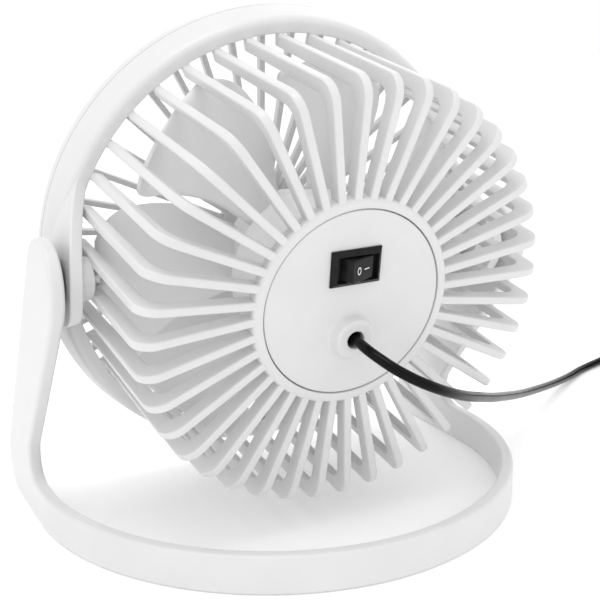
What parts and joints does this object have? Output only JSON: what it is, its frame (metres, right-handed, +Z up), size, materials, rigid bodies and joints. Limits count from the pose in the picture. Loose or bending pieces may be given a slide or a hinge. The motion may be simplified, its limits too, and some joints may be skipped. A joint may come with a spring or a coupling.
{
  "type": "desk fan",
  "caption": "Small round desk fan seen from behind: white caged head tilting on a hoop stand, rocker switch and captive USB power lead.",
  "frame": {"origin": "middle of the stand's outline on the surface that it stands on", "axes": "+X along the tilt axis, +Y towards the back with the switch and the lead, +Z up"},
  "size_m": [0.312, 0.129, 0.1488],
  "materials": {
    "white_plastic": "satin moulded white plastic",
    "impeller_plastic": "satin moulded pale plastic",
    "black_plastic": "fine satin black moulded plastic",
    "cord_jacket": "smooth glossy black jacket",
    "washer_rubber": "matt dark grey",
    "steel": "bright plated steel",
    "rotor_iron": "dark stacked iron",
    "brass": "plain brass",
    "red_wire": "red wire insulation",
    "plug_insert": "white insert"
  },
  "bodies": {
    "stand": {"stand_hoop": "white_plastic", "pivot_pin_left": "steel", "pivot_pin_right": "steel", "friction_washer_left": "washer_rubber", "friction_washer_right": "washer_rubber", "cord": "cord_jacket", "cord_coil": "cord_jacket", "coil_tie": "cord_jacket", "usb_plug_body": "cord_jacket", "usb_plug_shell": "steel", "usb_plug_tongue": "plug_insert"},
    "head": {"rear_housing": "white_plastic", "front_grille": "white_plastic", "rear_cover": "white_plastic", "cord_bushing": "black_plastic", "switch_body": "black_plastic", "switch_terminal_1": "brass", "switch_terminal_2": "brass", "motor_can": "steel", "motor_end_cap": "black_plastic", "motor_bush_front": "brass", "motor_bush_rear": "brass", "motor_screw_1": "steel", "motor_screw_2": "steel", "motor_lead_red": "red_wire", "motor_lead_black": "cord_jacket"},
    "rotor": {"impeller": "impeller_plastic", "motor_shaft": "steel", "motor_rotor": "rotor_iron"},
    "rocker": {"switch_rocker": "black_plastic"}
  },
  "joints": [
    {"name": "head_tilt", "type": "hinge", "parent": "stand", "child": "head", "pos_m": [0, -0.0042, 0.0755], "axis": [1, 0, 0], "range_deg": [-50, 35], "deforming": ["cord"]},
    {"name": "impeller_spin", "type": "hinge", "parent": "head", "child": "rotor", "pos_m": [0, -0.0042, 0.0755], "axis": [0, 0.982, -0.1891], "continuous": true},
    {"name": "switch_press", "type": "hinge", "parent": "head", "child": "rocker", "pos_m": [0.0009, 0.03186, 0.07976], "axis": [0, 0.1891, 0.982], "range_deg": [-22, 0]}
  ]
}
